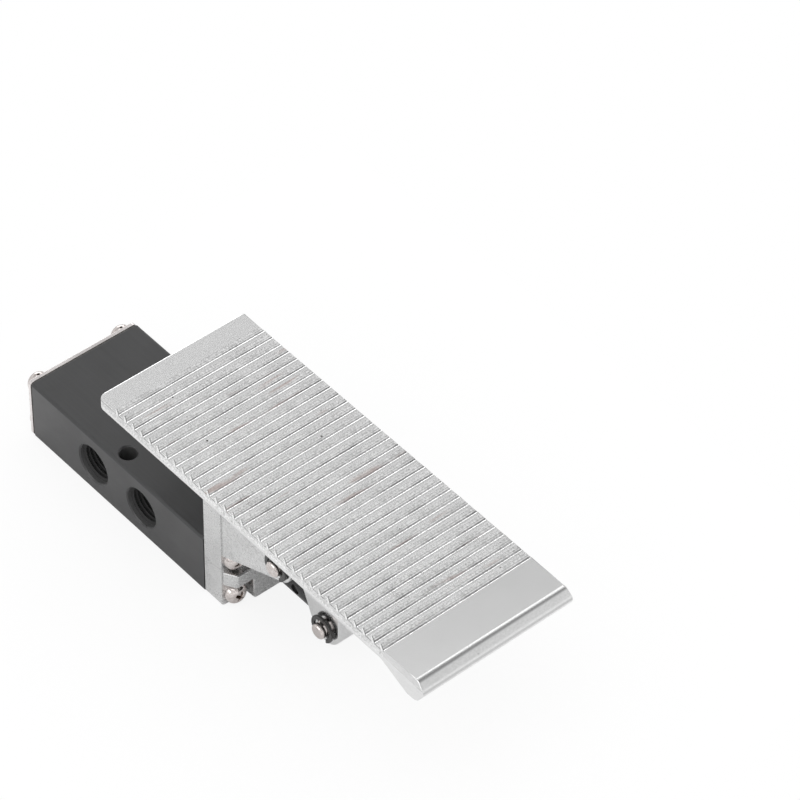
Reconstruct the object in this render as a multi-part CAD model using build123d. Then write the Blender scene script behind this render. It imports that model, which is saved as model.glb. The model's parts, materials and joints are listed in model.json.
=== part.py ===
from build123d import *
import math
import os

# Foot pedal air valve: a five-port spool valve worked by a cast pedal on a cast bracket.
# X runs forward to the pedal's lip, Y to the far side and Z up. The origin is the centre of the
# valve body's bottom face, which rests on the floor. All sizes are in millimetres.

# Valve body
body_length = 81.5
body_width = 40.0
body_height = 22.3
body_edge_radius = 1.0
bore_diameter = 17.0

# Ports, one to each gallery of the bore
gallery_pitch = 11.4
port_diameter = 13.2
port_depth = 9.0
passage_diameter = 8.0
near_galleries = (1, 3)
far_galleries = (0, 2, 4)

# Mounting holes through the body, between the ports
mounting_hole_diameter = 5.5
mounting_hole_inset = 4.65
mounting_hole_chamfer = 0.4

# Fits between pieces
fixed_gap = 0.05
running_gap = 0.05
rod_gap = 0.25
stop_gap = 0.1
groove_gap = 0.1

# Seals, spacers and guides in the bore
seal_width = 3.0
spacer_wall = 1.5
spacer_window_length = 4.8
spacer_window_width = 6.0
rod_seal_width = 3.0
guide_lip = 1.5
seat_thickness = 3.6
seat_floor = 1.2
seat_vent_diameter = 2.5

# Spool
land_diameter = 13.0
rod_diameter = 12.0
waist_diameter = 8.5
land_lap = 0.5
spring_bore_depth = 12.0
spool_end_gap = 0.2
fork_slot = 3.8
fork_root_clearance = 4.2
cross_pin_diameter = 3.0
cross_pin_recess = 0.7

# Return spring
spring_diameter = 7.2
spring_wire = 0.9
spring_turns = 6.0
spring_sides = 6
spring_side_gap = 0.4

# Screws, washers and gaskets
gasket_thickness = 0.5
gasket_inset = 0.3
screw_diameter = 4.0
screw_head_diameter = 7.0
screw_head_height = 2.5
screw_head_side = 0.5
screw_head_crown = 0.62
screw_recess_width = 0.9
screw_recess_length = 3.8
screw_recess_depth = 1.4
screw_side_inset = 4.4
screw_spacing = 14.4
screw_hole_gap = 0.2
screw_tip_gap = 1.0
bracket_screw_length = 20.0
end_screw_length = 12.0
washer_thickness = 1.0
washer_split = 0.8

# Rear end plate
end_plate_thickness = 1.2
end_plate_corner = 1.5
emboss_height = 0.5
emboss_length = 17.7
emboss_width = 6.4
emboss_side = 1.1
emboss_rise = 1.4
breather_diameter = 3.7
breather_side = 1.7
breather_rise = 3.1
breather_bulge = 9.4

# Front bracket
bracket_thickness = 7.5
bracket_corner = 1.5
boss_screw_gap = 0.9
boss_height = 3.8
boss_top = 22.0
boss_corner = 2.0
boss_foot_corner = 1.4
boss_draft = 3.0
boss_bar = 5.2
boss_bar_inset = 0.8
boss_bar_slope = 2.2
ear_radius = 5.4
ear_inset = 0.5
ear_foot = 21.0
ear_side_gap = 0.3
head_pocket_gap = 0.6
head_pocket_depth = 7.0

# Pivot of the pedal on the bracket
pivot_reach = 25.3
pivot_height = 38.1
pin_diameter = 5.0
pin_head_diameter = 8.0
pin_head_height = 2.0
pin_end_chamfer = 0.4
pivot_pin_tail = 2.5
link_pin_tail = 3.2
clip_diameter = 9.1
clip_thickness = 0.7
clip_groove_diameter = 4.0
clip_ring = 1.3
clip_opening = 3.6
pivot_clip_offset = 0.4
link_clip_offset = 0.75

# Link between the pedal's lugs and the spool's fork
link_thickness = 3.0
link_side_gap = 0.3
link_pin_radius = 5.0
link_cross_radius = 4.2
link_cross_gap = 0.2
apex_forward = 9.05
apex_drop = 24.83
fork_reach = 12.4
pedal_angle = 12.5

# Pedal
pedal_width = 54.2
pedal_behind = 72.0
pedal_ahead = 68.1
tread_thickness = 3.2
tread_far_chamfer = 0.4
tread_near_chamfer = 0.6
tread_near_drop = 2.0
tread_corner = 3.0
tread_far_corner = 1.2
nose_reach = 3.65
nose_drop = 2.55
lip_thickness = 8.0
lip_reach = 0.2
lip_land = 4.0
lip_ramp = 11.0
crease_radius = 3.2
nose_radius = 1.8
lip_radius = 2.5
lip_heel_radius = 1.0
groove_count = 32
groove_pitch = 3.75
groove_first = 9.6
groove_width = 2.15
groove_step = 0.12
groove_depth = 0.5
groove_end_inset = 0.4
groove_end_slant = 1.0
spine_width = 26.6
spine_draft_width = 1.4
spine_gap = 3.0
spine_rise = 29.0
spine_tail = 0.4
lug_thickness = 6.7
lug_radius = 5.9
lug_boss_radius = 6.0
lug_boss_height = 1.2
lug_behind = 12.2
lug_ahead = 15.0
ejector_diameter = 5.6
ejector_depth = 0.3
ejector_side = 20.6
ejector_stations = (21.6, 118.6)

# Stations along X
rear_face = -body_length / 2
front_face = body_length / 2
end_plate_face = rear_face - gasket_thickness
end_plate_back = end_plate_face - end_plate_thickness
bracket_face = front_face + gasket_thickness
bracket_front = bracket_face + bracket_thickness
boss_front = bracket_front + boss_height
pivot_x = bracket_front + pivot_reach
cross_x = boss_front + fork_reach

# Heights
bore_height = body_height / 2
bracket_height = pivot_height + ear_radius
spine_bottom = bracket_height + spine_gap
tread_top = spine_bottom + lip_thickness
tread_bottom = tread_top - tread_thickness

# The link's upper pin hangs from the pivot, so the stroke follows from the pedal's angle
apex_x = pivot_x + apex_forward
apex_z = pivot_height - apex_drop
link_length = math.hypot(apex_x - cross_x, apex_z - bore_height)


def cross_pin_at(angle):
    """Station of the spool's cross pin with the pedal pressed by an angle in degrees."""
    turn = math.radians(angle)
    forward = apex_forward * math.cos(turn) - apex_drop * math.sin(turn)
    drop = apex_forward * math.sin(turn) + apex_drop * math.cos(turn)
    rise = pivot_height - drop - bore_height
    return pivot_x + forward - math.sqrt(link_length ** 2 - rise ** 2)


stroke = cross_x - cross_pin_at(pedal_angle)

# Galleries and seals along the bore
galleries = [(index - 2) * gallery_pitch for index in range(5)]
seals = [(index - 2.5) * gallery_pitch for index in range(6)]
stack_end = seals[-1] + seal_width / 2
rod_seal_rear = front_face - rod_seal_width
guide_lip_rear = rod_seal_rear - guide_lip
seat_front = rear_face + seat_thickness
spool_rear = seat_front + stroke + spool_end_gap
spring_start = rear_face + seat_floor
spring_end = spool_rear + spring_bore_depth

# Half widths of what stacks up from the link outwards
lug_inner = link_thickness / 2 + link_side_gap + lug_boss_height
lug_outer = lug_inner + lug_thickness
ear_inner = lug_outer + ear_side_gap
ear_outer = body_width / 2 - ear_inset

# Places of the screws, the same at both ends of the body
screw_side = body_width / 2 - screw_side_inset
screw_places = [
    (side * screw_side, bore_height + level * screw_spacing / 2)
    for side in (-1, 1)
    for level in (-1, 1)
]
upper_screw_places = [place for place in screw_places if place[1] > bore_height]
boss_width = 2 * (screw_side - screw_head_diameter / 2 - boss_screw_gap)

# Places of the mounting holes: one on the near side and two on the far side
hole_side = body_width / 2 - mounting_hole_inset
mounting_places = [(0, -hole_side), (-gallery_pitch, hole_side), (gallery_pitch, hole_side)]


def along_x(radius, start, end, y=0.0, z=0.0):
    """Round bar parallel to X."""
    base = Plane(origin=(start, y, z), x_dir=(0, 1, 0), z_dir=(1, 0, 0))
    return extrude(base * Circle(radius), amount=end - start)


def along_y(radius, start, end, x=0.0, z=0.0):
    """Round bar parallel to Y."""
    base = Plane(origin=(x, start, z), x_dir=(1, 0, 0), z_dir=(0, 1, 0))
    return extrude(base * Circle(radius), amount=end - start)


def along_z(radius, start, end, x=0.0, y=0.0):
    """Round bar parallel to Z."""
    return extrude(Pos(x, y, start) * Circle(radius), amount=end - start)


def side_slab(outline, near, far):
    """Outline drawn in X and Z, given its width along Y."""
    base = Plane(origin=(0, far, 0), x_dir=(1, 0, 0), z_dir=(0, -1, 0))
    return extrude(base * outline, amount=far - near)


def end_slab(outline, start, end, taper=0.0):
    """Outline drawn in Y and Z, given its length along X."""
    base = Plane(origin=(start, 0, 0), x_dir=(0, 1, 0), z_dir=(1, 0, 0))
    return extrude(base * outline, amount=end - start, taper=taper)


def turned(outline, y=0.0, z=0.0):
    """Piece turned about an axis parallel to X, from its (station, radius) outline."""
    return Pos(0, y, z) * revolve(make_face(Polyline(*outline, close=True)), Axis.X)


def ring(outer, inner, start, end, z):
    """Plain ring about an axis parallel to X."""
    return along_x(outer, start, end, z=z) - along_x(inner, start, end, z=z)


def rounded_end(width, height, radius):
    """End face of a block that stands on the floor, with its corners rounded."""
    return Pos(0, height / 2) * RectangleRounded(width, height, radius)


def port_tool(station, side):
    """Everything that one port takes out of the body, on the near or the far side."""
    face = side * body_width / 2
    thread = along_y(port_diameter / 2, face - side * port_depth, face, station, bore_height)
    passage = along_y(passage_diameter / 2, 0, face - side * port_depth, station, bore_height)
    return thread + passage


def mounting_hole_tool(x, y):
    """Through hole with a chamfer at both ends."""
    radius = mounting_hole_diameter / 2
    hole = along_z(radius, 0, body_height, x, y)
    for level, up in ((0, 1), (body_height, -1)):
        base = Plane(origin=(x, y, level), x_dir=(1, 0, 0), z_dir=(0, 0, up))
        hole += extrude(base * Circle(radius + mounting_hole_chamfer), amount=radius, taper=45)
    return hole


def valve_body():
    """Block with the spool's bore, the ports, the mounting holes and the tapped ends."""
    block = end_slab(rounded_end(body_width, body_height, body_edge_radius), rear_face, front_face)
    block -= along_x(bore_diameter / 2, rear_face, front_face, z=bore_height)
    for index in near_galleries:
        block -= port_tool(galleries[index], -1)
    for index in far_galleries:
        block -= port_tool(galleries[index], 1)
    for x, y in mounting_places:
        block -= mounting_hole_tool(x, y)
    tapped = screw_diameter / 2 + fixed_gap
    rear_depth = end_screw_length - washer_thickness - end_plate_thickness - gasket_thickness
    front_depth = bracket_screw_length - washer_thickness - bracket_thickness - gasket_thickness
    for y, z in screw_places:
        block -= along_x(tapped, rear_face, rear_face + rear_depth + screw_tip_gap, y, z)
        block -= along_x(tapped, front_face - front_depth - screw_tip_gap, front_face, y, z)
    return block


def gasket(start, opening):
    """Thin sheet between the body's end and what is screwed to it."""
    width = body_width - 2 * gasket_inset
    height = body_height - 2 * gasket_inset
    sheet = end_slab(
        Pos(0, bore_height) * RectangleRounded(width, height, body_edge_radius),
        start,
        start + gasket_thickness,
    )
    sheet -= along_x(opening / 2, start, start + gasket_thickness, z=bore_height)
    for y, z in screw_places:
        sheet -= along_x(screw_diameter / 2 + screw_hole_gap, start, start + gasket_thickness, y, z)
    return sheet


def rear_gasket():
    return gasket(end_plate_face, bore_diameter - 2 * seat_floor)


def front_gasket():
    return gasket(front_face, rod_diameter + 2 * rod_gap)


def emboss_outline(inset=0.0):
    """Slot with a round bulge about the breather, as pressed into the end plate."""
    slot = Pos(emboss_side, bore_height + emboss_rise) * SlotOverall(
        emboss_length - 2 * inset, emboss_width - 2 * inset
    )
    bulge = Pos(breather_side, bore_height + breather_rise) * Circle(breather_bulge / 2 - inset)
    return slot + bulge


def rear_end_plate():
    """Pressed plate: proud outside, hollow inside, with an off-centre breather hole."""
    plate = end_slab(rounded_end(body_width, body_height, end_plate_corner), end_plate_back, end_plate_face)
    plate += end_slab(emboss_outline(), end_plate_back - emboss_height, end_plate_back)
    plate -= end_slab(emboss_outline(end_plate_thickness / 2), end_plate_face - emboss_height, end_plate_face)
    for y, z in screw_places:
        plate -= along_x(screw_diameter / 2 + screw_hole_gap, end_plate_back, end_plate_face, y, z)
    plate -= along_x(
        breather_diameter / 2,
        end_plate_back - emboss_height,
        end_plate_face,
        breather_side,
        bore_height + breather_rise,
    )
    return plate


def screw(seat, way, length, y, z):
    """Pan head screw under a seat: its head stands away from the seat, against its way in."""
    head = screw_head_diameter / 2
    shank = screw_diameter / 2
    top = seat - way * screw_head_height
    outline = [
        (seat + way * length, 0),
        (seat + way * length, shank),
        (seat, shank),
        (seat, head),
        (seat - way * screw_head_height * screw_head_side, head),
        (top, head * screw_head_crown),
        (top, 0),
    ]
    body = turned(outline, y, z)
    for width, height in (
        (screw_recess_length, screw_recess_width),
        (screw_recess_width, screw_recess_length),
    ):
        recess = Pos(y, z) * Rectangle(width, height)
        low, high = sorted((top, top + way * screw_recess_depth))
        body -= end_slab(recess, low, high)
    return body


def spring_washer(start, end, y, z):
    """Split ring under a screw head."""
    washer = along_x(screw_head_diameter / 2, start, end, y, z)
    washer -= along_x(screw_diameter / 2 + fixed_gap, start, end, y, z)
    split = Pos(y, z + screw_head_diameter / 4) * Rectangle(washer_split, screw_head_diameter / 2)
    return washer - end_slab(split, start, end)


def rear_end_screws():
    seat = end_plate_back - washer_thickness
    return [screw(seat, 1, end_screw_length, y, z) for y, z in screw_places]


def rear_spring_washers():
    return [spring_washer(end_plate_back - washer_thickness, end_plate_back, y, z) for y, z in screw_places]


def bracket_screws():
    seat = bracket_front + washer_thickness
    return [screw(seat, -1, bracket_screw_length, y, z) for y, z in screw_places]


def bracket_spring_washers():
    return [spring_washer(bracket_front, bracket_front + washer_thickness, y, z) for y, z in screw_places]


def boss_outline():
    """Raised block on the bracket's front face, with its upper corners rounded."""
    block = Pos(0, boss_top / 2) * Rectangle(boss_width, boss_top)
    block = fillet(block.vertices().group_by(Axis.Y)[-1], boss_corner)
    return fillet(block.vertices().group_by(Axis.Y)[0], boss_foot_corner)


def boss_bar_block():
    """Bar across the bracket at the height of the spool, with sloping ends."""
    half = body_width / 2 - boss_bar_inset
    root = bracket_front - bracket_thickness / 2
    outline = Polyline(
        (root, -half),
        (bracket_front, -half),
        (boss_front, -half + boss_bar_slope),
        (boss_front, half - boss_bar_slope),
        (bracket_front, half),
        (root, half),
        close=True,
    )
    return extrude(Pos(0, 0, bore_height - boss_bar / 2) * make_face(outline), amount=boss_bar)


def ear_outline():
    """Side of an ear: it narrows from the bracket's plate to a round end about the pivot."""
    end = Pos(pivot_x, pivot_height) * Circle(ear_radius)
    root_height = bracket_height - ear_foot
    root = Pos(bracket_front - bracket_thickness / 4, ear_foot + root_height / 2) * Rectangle(
        bracket_thickness / 2, root_height
    )
    return make_hull([*end.edges(), *root.edges()])


def front_bracket():
    """Cast bracket: plate, raised boss and bar, and two ears for the pedal's pivot."""
    plate_end = Pos(0, bracket_height / 2) * Rectangle(body_width, bracket_height)
    plate_end = fillet(plate_end.vertices().group_by(Axis.Y)[0], bracket_corner)
    bracket = end_slab(plate_end, bracket_face, bracket_front)
    bracket += end_slab(boss_outline(), bracket_front, boss_front, taper=boss_draft)
    bracket += boss_bar_block()
    for near, far in ((-ear_outer, -ear_inner), (ear_inner, ear_outer)):
        bracket += side_slab(ear_outline(), near, far)
    bracket -= along_y(pin_diameter / 2 + fixed_gap, -ear_outer, ear_outer, pivot_x, pivot_height)
    bracket -= along_x(rod_diameter / 2 + rod_gap, bracket_face, boss_front, z=bore_height)
    for y, z in screw_places:
        bracket -= along_x(screw_diameter / 2 + screw_hole_gap, bracket_face, bracket_front, y, z)
    pocket = screw_head_diameter / 2 + head_pocket_gap
    for y, z in upper_screw_places:
        bracket -= along_x(pocket, bracket_front, bracket_front + head_pocket_depth, y, z)
    return bracket


def spool_spacers():
    """Ring at each gallery that holds two seals apart, with four windows for the air."""
    outer = bore_diameter / 2 - fixed_gap
    rings = []
    for station in galleries:
        start = station - (gallery_pitch - seal_width) / 2
        end = station + (gallery_pitch - seal_width) / 2
        spacer = ring(outer, outer - spacer_wall, start, end, bore_height)
        for width, height in ((bore_diameter, spacer_window_width), (spacer_window_width, bore_diameter)):
            window = Box(spacer_window_length, width, height)
            spacer -= Pos(station, 0, bore_height) * window
        rings.append(spacer)
    return rings


def spool_seals():
    """Sealing ring between each gallery and the next."""
    outer = bore_diameter / 2 - fixed_gap
    inner = land_diameter / 2 + running_gap
    half = seal_width / 2
    return [ring(outer, inner, station - half, station + half, bore_height) for station in seals]


def rear_guide():
    """Plain ring between the spring's seat and the first seal."""
    return ring(
        bore_diameter / 2 - fixed_gap, land_diameter / 2 + running_gap, seat_front, -stack_end, bore_height
    )


def front_guide():
    """Cup-shaped bush: the spool's shoulder stops against its lip."""
    outer = bore_diameter / 2 - fixed_gap
    land = land_diameter / 2 + running_gap
    rod = rod_diameter / 2 + running_gap
    outline = [
        (stack_end, outer),
        (rod_seal_rear, outer),
        (rod_seal_rear, rod),
        (guide_lip_rear, rod),
        (guide_lip_rear, land),
        (stack_end, land),
    ]
    return turned(outline, z=bore_height)


def rod_seal():
    """Sealing ring about the spool's rod, held in the bore by the bracket."""
    return ring(
        bore_diameter / 2 - fixed_gap, rod_diameter / 2 + running_gap, rod_seal_rear, front_face, bore_height
    )


def spring_seat():
    """Disc at the rear of the bore: the spring stands in its pocket, and air leaves by its vent."""
    outer = bore_diameter / 2 - fixed_gap
    pocket = spring_diameter / 2 + spring_side_gap
    vent = seat_vent_diameter / 2
    outline = [
        (rear_face, vent),
        (rear_face, outer),
        (seat_front, outer),
        (seat_front, pocket),
        (spring_start, pocket),
        (spring_start, vent),
    ]
    return turned(outline, z=bore_height)


def return_spring():
    """Coil that pushes the spool forward, from the seat's pocket into the spool's bore."""
    radius = (spring_diameter - spring_wire) / 2
    length = spring_end - spring_start - spring_wire
    start = spring_start + spring_wire / 2
    coil = Helix(length / spring_turns, length, radius, center=(start, 0, bore_height), direction=(1, 0, 0))
    section = Plane(origin=coil @ 0, z_dir=coil % 0) * RegularPolygon(spring_wire / 2, spring_sides)
    return sweep(section, path=coil, is_frenet=True)


def spool():
    """Lands and waists turned on one bar, with a rod that ends in a fork for the link."""
    land = land_diameter / 2
    rod = rod_diameter / 2
    waist = waist_diameter / 2
    spring_bore = spring_diameter / 2 + spring_side_gap
    shoulder = guide_lip_rear - stop_gap
    first_waist = (
        seals[1] + seal_width / 2 + land_lap,
        seals[2] - seal_width / 2 - land_lap + stroke,
    )
    second_waist = [station + 2 * gallery_pitch for station in first_waist]
    outline = [(spring_end, 0), (spring_end, spring_bore), (spool_rear, spring_bore), (spool_rear, land)]
    for start, end in (first_waist, second_waist):
        outline += [(start, land), (start, waist), (end, waist), (end, land)]
    outline += [(shoulder, land), (shoulder, rod), (cross_x, rod), (cross_x, 0)]
    bar = turned(outline, z=bore_height)
    tip = along_x(rod, cross_x, cross_x + rod, z=bore_height)
    tip &= along_y(rod, -rod, rod, cross_x, bore_height)
    bar += tip
    root = cross_x - link_cross_radius - fork_root_clearance
    slot = Pos((root + cross_x + rod) / 2, bore_height) * Rectangle(cross_x + rod - root, rod_diameter)
    bar -= side_slab(slot, -fork_slot / 2, fork_slot / 2)
    bar -= along_y(cross_pin_diameter / 2 + fixed_gap, -rod, rod, cross_x, bore_height)
    return bar


def spool_cross_pin():
    """Small pin through the fork, short enough to lie below the rod's surface."""
    half = rod_diameter / 2 - cross_pin_recess
    return along_y(cross_pin_diameter / 2, -half, half, cross_x, bore_height)


def link_plate():
    """Flat link with one round end about each pin."""
    upper = Pos(apex_x, apex_z) * Circle(link_pin_radius)
    lower = Pos(cross_x, bore_height) * Circle(link_cross_radius)
    outline = make_hull([*upper.edges(), *lower.edges()])
    outline -= Pos(apex_x, apex_z) * Circle(pin_diameter / 2 + running_gap)
    outline -= Pos(cross_x, bore_height) * Circle(cross_pin_diameter / 2 + link_cross_gap)
    return side_slab(outline, -link_thickness / 2, link_thickness / 2)


def clip_span(grip, offset):
    """Where a clip lies along Y, next to the face that its pin holds."""
    end = -grip - offset
    return end - clip_thickness, end


def headed_pin(x, z, grip, tail, offset):
    """Turned pin with its head on the far side and a clip groove near its chamfered near end."""
    radius = pin_diameter / 2
    head = pin_head_diameter / 2
    groove = clip_groove_diameter / 2
    start, end = clip_span(grip, offset)
    tip = -grip - tail
    outline = Polyline(
        (0, tip),
        (radius - pin_end_chamfer, tip),
        (radius, tip + pin_end_chamfer),
        (radius, start - groove_gap),
        (groove, start - groove_gap),
        (groove, end + groove_gap),
        (radius, end + groove_gap),
        (radius, grip),
        (head, grip),
        (head, grip + pin_head_height - pin_end_chamfer),
        (head - pin_end_chamfer, grip + pin_head_height),
        (0, grip + pin_head_height),
        close=True,
    )
    return Pos(x, 0, z) * revolve(make_face(outline), Axis.Y)


def retaining_clip(x, z, grip, offset):
    """Open ring pressed on from below, whose three teeth grip the pin's groove."""
    outer = clip_diameter / 2
    teeth = clip_groove_diameter / 2 + fixed_gap
    outline = Circle(outer) - Circle(outer - clip_ring)
    tooth = Pos((outer + teeth) / 2, 0) * Rectangle(outer - teeth, clip_ring)
    for angle in (90, 205, 335):
        outline += Rot(Z=angle) * tooth
    outline -= Circle(teeth)
    outline -= Pos(0, -outer) * Rectangle(clip_opening, 2 * outer)
    outline &= Circle(outer)
    start, end = clip_span(grip, offset)
    return side_slab(Pos(x, z) * outline, start, end)


def pivot_pin():
    return headed_pin(pivot_x, pivot_height, ear_outer, pivot_pin_tail, pivot_clip_offset)


def pivot_pin_clip():
    return retaining_clip(pivot_x, pivot_height, ear_outer, pivot_clip_offset)


def link_pin():
    return headed_pin(apex_x, apex_z, lug_outer, link_pin_tail, link_clip_offset)


def link_pin_clip():
    return retaining_clip(apex_x, apex_z, lug_outer, link_clip_offset)


def tread_side():
    """Side of the foot plate: flat on top, with a thick rounded lip in front."""
    rear = pivot_x - pedal_behind
    crease = (pivot_x + pedal_ahead, tread_top)
    nose = (crease[0] + nose_reach, tread_top - nose_drop)
    lip_front = (crease[0] + lip_reach, spine_bottom)
    lip_rear = (lip_front[0] - lip_land, spine_bottom)
    outline = make_face(
        Polyline(
            (rear, tread_bottom),
            (rear, tread_top),
            crease,
            nose,
            lip_front,
            lip_rear,
            (lip_rear[0] - lip_ramp, tread_bottom),
            close=True,
        )
    )
    for corner, radius in (
        (crease, crease_radius),
        (nose, nose_radius),
        (lip_front, lip_radius),
        (lip_rear, lip_heel_radius),
    ):
        nearest = outline.vertices().sort_by_distance((*corner, 0))[0]
        outline = fillet(nearest, radius)
    return outline


def tread_end():
    """End of the foot plate: the die leaves a steep band below its near upper edge."""
    half = pedal_width / 2
    return make_face(
        Polyline(
            (-half, spine_bottom),
            (-half, tread_top - tread_near_drop),
            (-half + tread_near_chamfer, tread_top),
            (half - tread_far_chamfer, tread_top),
            (half, tread_top - tread_far_chamfer),
            (half, spine_bottom),
            close=True,
        )
    )


def tread_plan():
    """Foot plate seen from above, with its corners rounded."""
    rear = pivot_x - pedal_behind
    length = pedal_behind + pedal_ahead + nose_reach
    block = Pos(rear + length / 2, 0) * Rectangle(length, pedal_width)
    rear_corners = block.vertices().group_by(Axis.X)[0].sort_by(Axis.Y)
    block = fillet(rear_corners[0], tread_corner)
    far_rear = block.vertices().group_by(Axis.X)[0].sort_by(Axis.Y)[-1]
    return fillet(far_rear, tread_far_corner)


def groove_tool(front):
    """One tread groove: it deepens forward to a steep wall, and its near end slants."""
    rear = front - groove_width
    above = tread_top + groove_depth
    section = make_face(
        Polyline(
            (rear, above),
            (rear, tread_top - groove_step),
            (front, tread_top - groove_depth),
            (front, above),
            close=True,
        )
    )
    near = -pedal_width / 2
    rear_end = near + groove_end_inset + groove_end_slant
    far = pedal_width / 2 + groove_end_inset
    plan = make_face(
        Polyline(
            (rear, rear_end),
            (front, near + groove_end_inset),
            (front, far),
            (rear, far),
            close=True,
        )
    )
    column = extrude(Pos(0, 0, tread_top - 2 * groove_depth) * plan, amount=4 * groove_depth)
    return side_slab(section, near, far) & column


def spine():
    """Thick rib under the foot plate, which thins towards the rear."""
    rear = pivot_x - pedal_behind
    front = pivot_x + pedal_ahead + lip_reach - lip_land + lip_heel_radius
    side = make_face(
        Polyline(
            (rear, tread_bottom),
            (rear, tread_bottom - spine_tail),
            (rear + spine_rise, spine_bottom),
            (front, spine_bottom),
            (front, tread_bottom),
            close=True,
        )
    )
    foot = spine_width / 2 + spine_draft_width / 2
    end = make_face(
        Polyline(
            (-foot, tread_bottom),
            (-spine_width / 2, spine_bottom),
            (spine_width / 2, spine_bottom),
            (foot, tread_bottom),
            close=True,
        )
    )
    return side_slab(side, -foot, foot) & end_slab(end, rear, front)


def lug_outline():
    """Side of a lug: wide at the spine, round about the link's pin."""
    end = Pos(apex_x, apex_z) * Circle(lug_radius)
    root_height = (tread_bottom - spine_bottom) / 2
    root = Pos(pivot_x + (lug_ahead - lug_behind) / 2, spine_bottom + root_height / 2) * Rectangle(
        lug_ahead + lug_behind, root_height
    )
    return make_hull([*end.edges(), *root.edges()])


def pedal():
    """Cast foot plate with grooves, lip, spine and the two lugs of the crank."""
    rear = pivot_x - pedal_behind
    length = pedal_behind + pedal_ahead + nose_reach
    plate = side_slab(tread_side(), -pedal_width / 2, pedal_width / 2)
    plate &= end_slab(tread_end(), rear, rear + length)
    plate &= extrude(Pos(0, 0, spine_bottom) * tread_plan(), amount=lip_thickness)
    for index in range(groove_count):
        plate -= groove_tool(rear + groove_first + groove_pitch * index)
    for station in ejector_stations:
        for side in (-ejector_side, ejector_side):
            plate -= along_z(
                ejector_diameter / 2, tread_bottom, tread_bottom + ejector_depth, rear + station, side
            )
    plate += spine()
    for near in (-lug_outer, lug_inner):
        plate += side_slab(lug_outline(), near, near + lug_thickness)
    for side in (-1, 1):
        low, high = sorted((side * (lug_inner - lug_boss_height), side * lug_inner))
        plate += along_y(lug_boss_radius, low, high, apex_x, apex_z)
    plate -= along_y(pin_diameter / 2 + running_gap, -lug_outer, lug_outer, pivot_x, pivot_height)
    plate -= along_y(pin_diameter / 2 + fixed_gap, -lug_outer, lug_outer, apex_x, apex_z)
    return plate


def write(name, shape):
    """Write one sub-part, whose pieces may be several separate solids."""
    solids = shape if isinstance(shape, list) else [shape]
    export_step(Compound(children=[solid for piece in solids for solid in piece.solids()]), f"parts/{name}.step")


sub_parts = {
    "valve_body": valve_body,
    "rear_gasket": rear_gasket,
    "rear_end_plate": rear_end_plate,
    "rear_end_screws": rear_end_screws,
    "rear_spring_washers": rear_spring_washers,
    "front_gasket": front_gasket,
    "front_bracket": front_bracket,
    "bracket_screws": bracket_screws,
    "bracket_spring_washers": bracket_spring_washers,
    "spool_spacers": spool_spacers,
    "spool_seals": spool_seals,
    "rear_guide": rear_guide,
    "front_guide": front_guide,
    "rod_seal": rod_seal,
    "spring_seat": spring_seat,
    "return_spring": return_spring,
    "spool": spool,
    "spool_cross_pin": spool_cross_pin,
    "link_plate": link_plate,
    "pivot_pin": pivot_pin,
    "pivot_pin_clip": pivot_pin_clip,
    "pedal": pedal,
    "link_pin": link_pin,
    "link_pin_clip": link_pin_clip,
}

os.makedirs("parts", exist_ok=True)
for name, make in sub_parts.items():
    write(name, make())

print("spool stroke", round(stroke, 3), "link length", round(link_length, 3))
print("pivot", pivot_x, pivot_height, "link pin", round(apex_x, 3), round(apex_z, 3), "cross pin", cross_x)
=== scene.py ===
# %% [markdown]
# # Foot pedal air valve
# A spool valve in a black block, worked by a cast foot pedal on a cast bracket. The CAD model gives
# every piece its real size and place. This lesson gives each piece the worked edges, the finish and
# the light of the real one. Lengths are in metres: X runs forward to the pedal's lip, Y to the far
# side and Z up.

# %% Load the frame
import json
import math

import bmesh
import bpy
from mathutils import Matrix, Vector


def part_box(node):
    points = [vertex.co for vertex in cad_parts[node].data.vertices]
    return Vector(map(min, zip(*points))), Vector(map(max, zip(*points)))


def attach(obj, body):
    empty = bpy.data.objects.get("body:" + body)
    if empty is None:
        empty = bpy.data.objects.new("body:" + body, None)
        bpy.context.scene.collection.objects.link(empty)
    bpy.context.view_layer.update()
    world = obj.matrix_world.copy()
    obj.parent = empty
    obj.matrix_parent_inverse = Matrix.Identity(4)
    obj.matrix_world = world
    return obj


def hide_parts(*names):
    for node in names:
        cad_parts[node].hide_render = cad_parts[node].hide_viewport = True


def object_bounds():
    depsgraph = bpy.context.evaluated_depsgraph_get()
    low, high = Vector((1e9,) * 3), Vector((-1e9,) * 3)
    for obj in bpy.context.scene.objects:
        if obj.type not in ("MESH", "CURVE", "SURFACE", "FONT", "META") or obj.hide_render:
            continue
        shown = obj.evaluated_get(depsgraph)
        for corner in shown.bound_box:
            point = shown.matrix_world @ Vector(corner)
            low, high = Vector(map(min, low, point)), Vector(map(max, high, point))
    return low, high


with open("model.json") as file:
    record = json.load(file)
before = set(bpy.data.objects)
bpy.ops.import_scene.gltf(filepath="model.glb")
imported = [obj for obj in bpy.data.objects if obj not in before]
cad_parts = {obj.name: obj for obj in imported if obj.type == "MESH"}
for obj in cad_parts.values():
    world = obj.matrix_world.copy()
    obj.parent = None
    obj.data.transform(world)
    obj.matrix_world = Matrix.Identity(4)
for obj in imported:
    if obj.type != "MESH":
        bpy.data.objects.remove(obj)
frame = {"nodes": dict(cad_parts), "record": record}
cad_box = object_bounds()
mm = 0.001
print("CAD nodes:", len(frame["nodes"]), "highest corner:", [round(x, 4) for x in cad_box[1]])

# %% [markdown]
# ## Working on a copy of a CAD piece
# The CAD meshes have perfectly sharp corners, and metal never has: a casting is tumbled and a turned
# pin is chamfered, and that narrow band is what catches the light. A CAD mesh is never changed, so
# each piece that needs such edges is a copy. It is merged first, because the CAD mesh is loose
# triangles, and its flat faces are joined. Then the edges that a rule picks are bevelled.

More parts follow.
